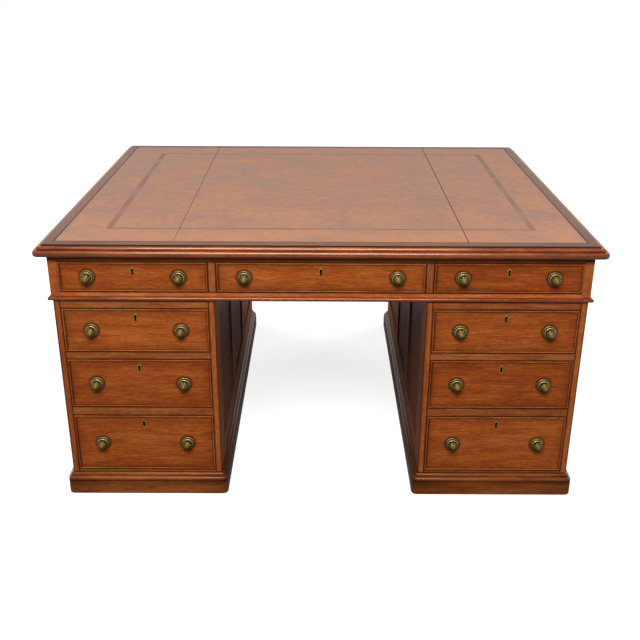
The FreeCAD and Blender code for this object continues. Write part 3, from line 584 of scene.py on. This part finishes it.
# vegetable-tanned hide, dyed, waxed and blind tooled: pinkish tan with fine streaks from dusting,
# a creased dark line where the skins meet, and bands pressed in darker
hideLook = {
    "roughness": 0.5, "halfX": 716.0, "halfY": 595.0,
    "seam": (396.0, 1.0), "gap": 0.2,  # its place and half width, and half the gap in it
    "seamFade": (-200, 200, 0.3, 1.0),  # it shows faintly on the left, fully on the right
    "edgeLine": (2.0, 3.2),        # dark line round the edge: full to here, gone by here
    "margin": (4.0, 15.0),         # darker strip inside it, the same way
    "front": (-300, -600),         # warmer from here to here towards the front
    "toolOuter": (602.0, 481.0),   # outer edges of the tooled bands, from the middle
    "toolWide": (18.0, 9.0),       # width of the bands at the ends, and of those front and back
    "soft": 1.0,                   # over which the bands and the seam's line fade out
    "toolDepth": -3.0,
    "streak": (26.3158, 16.6667), "cloud": (200, 125),  # size of one along X and along Y
    "noise": {"Scale": 1.0, "Detail": 5.0, "Roughness": 0.6},
    "streakShare": 0.5, "cloudShare": 0.5,
    "stops": ((0.38, "#8b634d"), (0.5, "#9c6c52"), (0.62, "#ac7651")),
    "faded": (0.36, 0.56, 0.35, 1.0),  # tooling is worn where the clouds are low
    "shine": (0.3, 0.7, 0.42, 0.52),   # clouds from and to, and the roughness at each
    "pebble": 1.4, "bump": 0.4, "bumpDepth": 0.2,
    # strength and colour of each layer
    "layers": {"front": (0.45, "#b57a52"), "margin": (0.3, "#7c5947"), "endBand": (0.7, "#66452f"),
               "longBand": (0.85, "#5c3526"), "crease": (0.8, "#3c2118"), "rim": (0.95, "#1a0b06")},
    "sunk": 0.5, "sunkReach": 4.0, "sunkRow": 1.5,  # depth at the edge, how far in, and a row between
    "grid": (40, 60), "crisp": 40,
}


def tooledHide():
    look = hideLook
    material, shader, add = newMaterial("tooledHide", look["roughness"])

    # full to one distance in mm, gone by the other
    def near(distance, full, gone):
        return add("MapRange", (distance, full * mm, gone * mm, 1.0, 0.0))

    def product(first, second):
        return add("Math", (first, second), operation="MULTIPLY")

    where = add("TexCoord").node.outputs["Object"]
    x, y, _ = add("SeparateXYZ", (add("VectorMath", (where,), operation="ABSOLUTE"),)).node.outputs
    leftToRight, frontToBack, _ = add("SeparateXYZ", (where,)).node.outputs
    left, right, faint, plain = look["seamFade"]
    rightward = add("MapRange", (leftToRight, left * mm, right * mm, faint, plain))
    front = add("MapRange", (frontToBack, *(size * mm for size in look["front"])))
    fromEdge = [add("Math", (reach * mm, value), operation="SUBTRACT")
                for reach, value in ((look["halfX"], x), (look["halfY"], y))]
    edge = add("Math", fromEdge, operation="MINIMUM")
    inX, inY = [add("Math", (reach * mm, value), operation="SUBTRACT")
                for reach, value in zip(look["toolOuter"], (x, y))]
    noises = []
    for length, width in (look["streak"], look["cloud"]):
        scale = (1 / (length * mm), 1 / (width * mm), 1 / (length * mm))
        stretched = add("VectorMath", (where, scale), operation="MULTIPLY")
        noises.append(add("TexNoise", {"Vector": stretched, **look["noise"]}))
    streaks, clouds = noises

    soft = look["soft"]
    inner = product(*(add("MapRange", (inset, -soft / 2 * mm, soft / 2 * mm)) for inset in (inX, inY)))
    endBand, longBand = (product(inner, near(inset, wide - soft, wide + soft))
                         for inset, wide in zip((inX, inY), look["toolWide"]))
    middle, halfWide = look["seam"]
    away = add("Math", (add("Math", (x, middle * mm), operation="SUBTRACT"),), operation="ABSOLUTE")
    crease = near(away, halfWide, halfWide + soft)
    rim = near(edge, *look["edgeLine"])
    margin = near(edge, *look["margin"])

    share = add("Math", (streaks, look["streakShare"], 0.0), operation="MULTIPLY_ADD")
    share = add("Math", (clouds, look["cloudShare"], share), operation="MULTIPLY_ADD")
    colour = add("ValToRGB", (share,), stops=look["stops"])
    faded = add("MapRange", (clouds, *look["faded"]))
    masks = {"front": (front, faded), "margin": (margin, faded), "endBand": (endBand, faded),
             "longBand": (longBand, faded), "crease": (crease, rightward), "rim": (rim, rim)}
    for key, (mask, fade) in masks.items():
        strength, shade = look["layers"][key]
        mask = product(product(mask, fade), strength)
        colour = add("Mix", {0: mask, 6: colour, 7: toLinear(shade)}, data_type="RGBA").node.outputs[2]
    height = add("TexVoronoi", {"Vector": where, "Scale": 1 / (look["pebble"] * mm)})
    for mask in (endBand, longBand, crease):
        height = add("Math", (mask, look["toolDepth"], height), operation="MULTIPLY_ADD")
    bump = add("Bump", {"Height": height, "Strength": look["bump"], "Distance": look["bumpDepth"] * mm})
    shine = add("MapRange", (clouds, *look["shine"]))
    for mask in (rim, crease):  # dirt in the joints is dull
        shine = add("Math", (shine, mask), operation="MAXIMUM")
    return linkShader(material, shader, {"Base Color": colour, "Roughness": shine, "Normal": bump})


# each skin is a grid over its own rectangle, sunk a hair at its edges: height falls with the
# square of nearness to the edge, and a closed underside lies on the top board
def skin(x0, x1, y0, y1, bottom, top):
    sunk, reach, row = (hideLook[key] * mm for key in ("sunk", "sunkReach", "sunkRow"))
    countX, countY = hideLook["grid"]
    across = np.r_[x0, x0 + row, np.linspace(x0 + reach, x1 - reach, countX), x1 - row, x1]
    deep = np.r_[y0, y0 + row, np.linspace(y0 + reach, y1 - reach, countY), y1 - row, y1]
    gx, gy = np.meshgrid(across, deep, indexing="ij")
    near = np.minimum(np.minimum(gx - x0, x1 - gx), np.minimum(gy - y0, y1 - gy))
    gz = top - sunk * np.clip(1 - near / reach, 0, 1) ** 2
    upper = np.stack([gx, gy, gz], -1).reshape(-1, 3)
    lower = np.stack([gx, gy, np.full_like(gx, bottom)], -1).reshape(-1, 3)
    index = np.arange(gx.size).reshape(gx.shape)
    quads = np.stack([index[:-1, :-1], index[1:, :-1], index[1:, 1:], index[:-1, 1:]], -1)
    quads = quads.reshape(-1, 4)
    rim = np.r_[index[:, 0], index[-1, 1:], index[-2::-1, -1], index[0, -2:0:-1]]
    beyond = np.roll(rim, -1)
    walls = np.stack([rim + gx.size, beyond + gx.size, beyond, rim], -1)
    faces = quads.tolist() + (quads[:, ::-1] + gx.size).tolist() + walls.tolist()
    return np.concatenate([upper, lower]), faces


lowCorner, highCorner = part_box("top_leather")
seam, gap = hideLook["seam"][0] * mm, hideLook["gap"] * mm
edges = ((lowCorner.x, -seam - gap), (-seam + gap, seam - gap), (seam + gap, highCorner.x))
skins = [skin(a, b, lowCorner.y, highCorner.y, lowCorner.z, highCorner.z) + ({}, 0) for a, b in edges]
makePiece("hide_skins", skins, [tooledHide()], ["top_leather"], hideLook["crisp"])
print("hide laid")


# cast and turned brass, lacquer long gone: olive brown in the hollows, rubbed bright on the rims
brassLook = {
    "blotch": 4.54545, "detail": 4.0, "blotchShare": 0.5,
    "stops": (0.1, 0.45, 0.95),  # where the metal is hollow, middle and bright
    "knob": ("#3f3011", "#65532c", "#b09c6c"), "knobRoughness": 0.48,
    "sheet": ("#33260f", "#6c5428", "#9c8149"), "sheetRoughness": 0.5,
    "shine": (0.1, 0.9, 0.16, -0.04),  # wear from and to, and how far roughness strays at each
    "bump": 0.25, "bumpDepth": 0.3,
}


def agedBrass(name, shades, roughness):
    look = brassLook
    material, shader, add = newMaterial(name, roughness, metallic=1.0, gloss=0.5)
    where = add("TexCoord").node.outputs["Object"]
    rub = add("Attribute", attribute_name="rub").node.outputs["Fac"]
    blotch = add("TexNoise", {"Vector": where, "Scale": 1 / (look["blotch"] * mm),
                              "Detail": look["detail"]})
    share = add("Math", (blotch, look["blotchShare"], rub), operation="MULTIPLY_ADD")
    colour = add("ValToRGB", (share,), stops=list(zip(look["stops"], shades)))
    start, end, *strays = look["shine"]
    shine = add("MapRange", (share, start, end, *(roughness + stray for stray in strays)))
    bump = add("Bump", {"Height": blotch, "Strength": look["bump"], "Distance": look["bumpDepth"] * mm})
    return linkShader(material, shader, {"Base Color": colour, "Roughness": shine, "Normal": bump})


knobBrass = agedBrass("agedCastBrass", brassLook["knob"], brassLook["knobRoughness"])
sheetBrass = agedBrass("agedSheetBrass", brassLook["sheet"], brassLook["sheetRoughness"])

# the iron lock behind a keyhole, painted near black as the shade inside the keyhole, with a little rust
lockShadeLook = {"roughness": 1.0, "speck": 1.11111, "detail": 2.0, "soot": "#050303", "rust": "#1c0f08"}


def sootedIron():
    look = lockShadeLook
    material, shader, add = newMaterial("sootedIron", look["roughness"], gloss=0.0)
    where = add("TexCoord").node.outputs["Object"]
    specks = add("TexNoise", {"Vector": where, "Scale": 1 / (look["speck"] * mm),
                              "Detail": look["detail"]})
    mixed = add("Mix", {0: specks, 6: toLinear(look["soot"]), 7: toLinear(look["rust"])},
                data_type="RGBA")
    return linkShader(material, shader, {"Base Color": mixed.node.outputs[2]})


lockShadeMaterial = sootedIron()

# turned knob, in section from the face out: (radius, out, rub). Rose, raised step, neck, head
knobTurning = {
    "section": [
        (21.5, 0.0, -0.4), (21.5, 0.9, -0.2), (21.1, 1.5, 0.0), (20.2, 1.8, -0.2), (19.4, 1.9, -0.4),
        (19.2, 2.6, 0.0), (18.9, 3.3, 0.5), (18.2, 3.8, 0.4), (17.4, 4.0, -0.2), (16.4, 4.1, -0.5),
        (15.9, 4.5, -0.5), (15.8, 7.6, -0.1), (15.4, 8.8, 0.9), (14.6, 9.4, 0.8), (13.6, 9.6, -0.3),
        (10.6, 9.4, -0.6),
        (8.4, 9.6, -0.6), (7.2, 11.0, -0.6), (7.6, 13.2, -0.6), (10.4, 15.2, -0.4),
        (13.4, 16.8, -0.1), (14.5, 18.2, 0.1), (14.5, 19.4, 0.15), (13.7, 20.6, 0.15),
        (12.0, 22.0, 0.15), (10.4, 23.2, 0.2), (8.6, 24.6, 0.25), (6.4, 26.1, 0.25),
        (4.0, 27.4, 0.3), (1.6, 28.0, 0.4)],
    "petals": 8, "petalDepth": 0.05,    # shallow facets round the dome of the head
    "dome": (16.5, 20.5, 26.3, 28.3),   # out to where they begin, are full, fail and are gone
    "petalRub": 0.35, "sides": 48,
}


# a surface of turning: (r cos t, -out, r sin t), with r cut back over the dome of the head by
# depth * (1 - |sin(petals t / 2)|), which leaves soft ridges between shallow facets
def turnedKnob(centre, outward):
    look = knobTurning
    section = np.array(look["section"])
    turn = np.linspace(0, 2 * math.pi, look["sides"], endpoint=False)
    begin, full, fail, gone = look["dome"]
    rising, falling = (section[:, 1] - begin) / (full - begin), (gone - section[:, 1]) / (gone - fail)
    dome = np.clip(rising, 0, 1) * np.clip(falling, 0, 1)
    wave = dome[:, None] * (1 - np.abs(np.sin(look["petals"] * turn / 2)))
    radius = section[:, 0, None] * (1 - look["petalDepth"] * wave)
    out = np.broadcast_to(section[:, 1, None], radius.shape)
    flat = np.stack([radius * np.cos(turn) * outward, -out * outward, radius * np.sin(turn)], -1)
    index = np.arange(radius.size).reshape(radius.shape)
    beside = np.roll(index, -1, axis=1)
    quads = np.stack([index[:-1], beside[:-1], beside[1:], index[1:]], -1).reshape(-1, 4)
    faces = quads.tolist() + [index[0][::-1].tolist(), index[-1].tolist()]
    rub = section[:, 2, None] - look["petalRub"] * wave
    return flat.reshape(-1, 3) * mm + np.array(centre), faces, {"rub": rub.ravel()}, 0


# escutcheon: rings from its pierced keyhole out to an oval rim (a cos t, b sin t), cambered, and
# back underneath. The keyhole is an eye, and a slot that leaves it at the angle asin(slot / eye)
escutcheonCut = {
    "wide": 14.0, "high": 25.0, "eyeUp": 4.8, "eyeRadius": 3.7, "eyePoints": 37,
    "slot": 2.5, "slotFoot": -9.0, "lock": 0.35,  # the lock, a black fill that paints the keyhole's shade, shows this far up in the keyhole
    # each ring's share of the way from keyhole to rim, its height and its rub
    "rings": ((0.0, 0.95, 0.6), (0.12, 1.2, 0.5), (0.75, 1.05, 0.3), (1.0, 0.5, 0.4),
              (1.0, 0.0, 0.0), (0.0, 0.0, -0.5)),
}


def escutcheon(centre, outward):
    cut = escutcheonCut
    wide, high, slot, slotFoot = (cut[key] for key in ("wide", "high", "slot", "slotFoot"))
    gap = math.asin(slot / cut["eyeRadius"])
    turn = np.linspace(-math.pi / 2 + gap, 1.5 * math.pi - gap, cut["eyePoints"])
    eye = np.column_stack([np.cos(turn), np.sin(turn)]) * cut["eyeRadius"] + [0, cut["eyeUp"]]
    hole = np.concatenate([eye, [[-slot, slotFoot], [slot, slotFoot]]])
    bearing = np.arctan2(hole[:, 1] * wide / high, hole[:, 0])
    rim = np.column_stack([wide / 2 * np.cos(bearing), high / 2 * np.sin(bearing)])
    shares, heights, rubs = np.array(cut["rings"]).T[:, :, None]
    rings = hole + (rim - hole) * shares[..., None]
    out, rub = (np.broadcast_to(value, rings.shape[:2]) for value in (heights, rubs))
    points = np.stack([rings[..., 0] * outward, -out * outward, rings[..., 1]], -1).reshape(-1, 3) * mm
    index = np.arange(len(points)).reshape(rings.shape[:2])
    around = np.roll(index, -1, axis=1)
    quads = np.stack([index, np.roll(index, -1, axis=0), np.roll(around, -1, axis=0), around], -1)
    # the lock behind, a black fill that paints the keyhole's shade: the keyhole's outline at two heights,
    # closed
    count = len(hole)
    out = np.repeat([cut["lock"], 0.0], count)
    behind = np.stack([np.tile(hole[:, 0], 2) * outward, -out * outward, np.tile(hole[:, 1], 2)], -1)
    here = np.arange(count)
    beside = np.roll(here, -1)
    walls = np.stack([here, here + count, beside + count, beside], -1).tolist()
    faces = [here[::-1].tolist(), (here + count).tolist()] + walls
    return [(points + np.array(centre), quads.reshape(-1, 4).tolist(), {"rub": rub.ravel()}, 1),
            (behind * mm + np.array(centre), faces, {"rub": np.zeros(2 * count)}, 2)]


# the brass of a drawer or door: knobs and escutcheon worked anew, locks and hinges as they are.
# A knob is wider than this and stands out between the two; an escutcheon is thinner and lower
brassKinds = {"knobWide": 35, "knobOut": (20, 35), "plateThin": 2, "plateHigh": 30,
              "plainRub": 0.15, "crisp": 35}
for node in nodeNames:
    if not (node.endswith("_brass") or node == "cupboard_hinge_leaves"):
        continue
    parts = []
    least, most = brassKinds["knobOut"]
    for points, triangles in splitSolids(frame["nodes"][node].data):
        used = points[np.unique(triangles)]
        lowest, highest = used.min(0), used.max(0)
        size, middle = (highest - lowest) / mm, (highest + lowest) / 2
        outward = 1 if middle[1] < 0 else -1
        seat = (middle[0], (highest if outward > 0 else lowest)[1], middle[2])
        if min(size[0], size[2]) > brassKinds["knobWide"] and least < size[1] < most:
            parts.append(turnedKnob(seat, outward))
        elif size[1] < brassKinds["plateThin"] and size[2] < brassKinds["plateHigh"]:
            parts += escutcheon(seat, outward)
        else:
            eased, faces = easedBoard(points, triangles, easing["brass"])
            parts.append((eased, faces, {"rub": np.full(len(eased), brassKinds["plainRub"])}, 1))
    makePiece(node + "_worked", parts, [knobBrass, sheetBrass, lockShadeMaterial], [node],
              brassKinds["crisp"])
print("brass worked")

# floor: white to the camera and in reflections, with the desk's soft shadow; what bounces off it
# is dull. Its glow rises from near to far over the first stretch in metres. In reflections it is
# in the desk's shade out to the start of the second and clear of it at its end
stage = {"reach": 12.0, "paper": "#b9b9b9", "bounce": "#5c5a57", "near": 0.80, "far": 1.0,
         "rise": (0.9, 3.0), "shaded": 0.07, "shade": (0.8, 1.8)}
reach = stage["reach"]
floorMesh = bpy.data.meshes.new("studioFloor")
floorMesh.from_pydata([(-reach, -reach, 0), (reach, -reach, 0), (reach, reach, 0), (-reach, reach, 0)],
                      [], [(0, 1, 2, 3)])
floor = bpy.data.objects.new("studio_floor", floorMesh)
scene.collection.objects.link(floor)
paper, shader, add = newMaterial("studioPaper", 1.0)
path = add("LightPath").node.outputs
shown = add("Math", (path["Is Camera Ray"], path["Is Transmission Ray"]), operation="MAXIMUM")
where = add("TexCoord").node.outputs["Object"]
away = add("VectorMath", (where,), operation="LENGTH").node.outputs["Value"]
glow = add("MapRange", (away, *stage["rise"], stage["near"], stage["far"]))
glow = add("Math", (glow, shown), operation="MULTIPLY")
mirrored = add("MapRange", (away, *stage["shade"], stage["shaded"], stage["far"]))
glow = add("Math", (path["Is Glossy Ray"], mirrored, glow), operation="MULTIPLY_ADD")
shade = add("Mix", {0: shown, 6: toLinear(stage["bounce"]), 7: toLinear(stage["paper"])},
            data_type="RGBA").node.outputs[2]
lit = add("BsdfDiffuse", (shade,))
whole = add("AddShader", (lit, add("Emission", ((1, 1, 1, 1), glow))))
paper.node_tree.links.new(whole, paper.node_tree.nodes["Material Output"].inputs["Surface"])
floorMesh.materials.append(paper)

# studio round it: white to the camera and in reflections, a dim fill to everything else
studio = {"fill": 0.28}
world = bpy.data.worlds.new("studio")
scene.world = world
world.use_nodes = True
world.node_tree.nodes.clear()
add = partial(addNode, world.node_tree)
path = add("LightPath").node.outputs
shown = path["Is Camera Ray"]
for key in ("Is Transmission Ray", "Is Glossy Ray"):
    shown = add("Math", (shown, path[key]), operation="MAXIMUM")
strength = add("Math", (shown, 1 - studio["fill"], studio["fill"]), operation="MULTIPLY_ADD")
add("OutputWorld", (add("Background", ((1, 1, 1, 1), strength)),))

lamps = {
    "frontSoftbox": {"at": (-0.2, -3.2, 3.3), "to": (0, -0.4, 0.5), "size": (2.3, 1.4), "power": 170},
    "leftSide": {"at": (-4.2, 0.3, 0.5), "to": (-0.5, 0.1, 0.45), "size": (2.2, 0.85), "power": 58},
    "rightSide": {"at": (4.2, 0.3, 0.5), "to": (0.5, 0.1, 0.45), "size": (2.2, 0.85), "power": 58},
    "behindLeft": {"at": (-3.6, 2.8, 2.2), "to": (-0.3, 0.5, 0.4), "size": (1.8, 1.8), "power": 75},
    "behindRight": {"at": (3.6, 2.8, 2.2), "to": (0.3, 0.5, 0.4), "size": (1.8, 1.8), "power": 75},
}
for name, lamp in lamps.items():
    light = bpy.data.lights.new(name, "AREA")
    light.shape = "RECTANGLE"
    light.size, light.size_y = lamp["size"]
    light.energy = lamp["power"]
    holder = bpy.data.objects.new(name, light)
    aim = Vector(lamp["to"]) - Vector(lamp["at"])
    holder.matrix_world = Matrix.Translation(lamp["at"]) @ aim.to_track_quat("-Z", "Y").to_matrix().to_4x4()
    scene.collection.objects.link(holder)

# camera: a 49.65 mm lens on a 36 mm frame, 1.5 m up and looking down 23 degrees
view = {"at": (-0.00587, -2.84969, 1.50301), "lens": 49.65, "down": 23.07, "yaw": 0.1, "roll": -0.29}
camera = bpy.data.cameras.new("camera")
camera.lens = view["lens"]
holder = bpy.data.objects.new("camera", camera)
intoView = (Matrix.Rotation(math.radians(view["roll"]), 4, "Z")
            @ Matrix.Rotation(math.radians(view["down"]), 4, "X")
            @ Matrix(((1, 0, 0, 0), (0, 0, 1, 0), (0, -1, 0, 0), (0, 0, 0, 1)))
            @ Matrix.Rotation(math.radians(view["yaw"]), 4, "Z"))
holder.matrix_world = Matrix.Translation(view["at"]) @ intoView.transposed()
scene.collection.objects.link(holder)
scene.camera = holder
scene.view_settings.view_transform = "Standard"
print("camera and lamps set")
